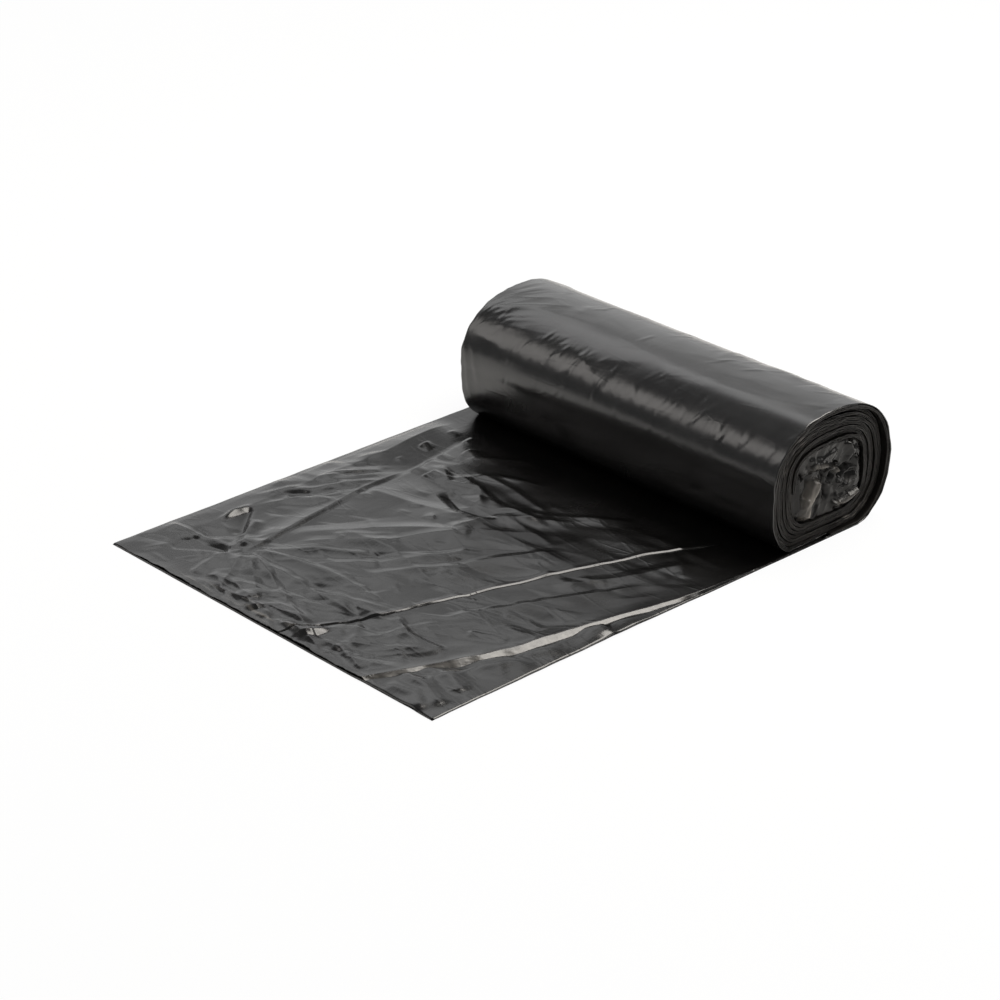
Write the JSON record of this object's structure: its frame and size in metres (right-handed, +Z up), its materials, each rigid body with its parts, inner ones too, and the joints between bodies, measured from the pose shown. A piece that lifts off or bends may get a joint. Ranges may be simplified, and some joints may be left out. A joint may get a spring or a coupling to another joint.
{
  "type": "bin bag roll",
  "caption": "Coreless roll of thin black film bags, wound as one long folded web, with its free end drawn out flat in front of the roll.",
  "frame": {"origin": "middle of the part's footprint, on the surface that it lies on", "axes": "+X along the roll towards its squarer end, -Y the way the free end points, +Z up"},
  "size_m": [0.2324, 0.3, 0.0675],
  "materials": {
    "film": "thin black polyethylene film, soft gloss, creased"
  },
  "bodies": {
    "root": {"bag_roll": "film"}
  },
  "joints": []
}
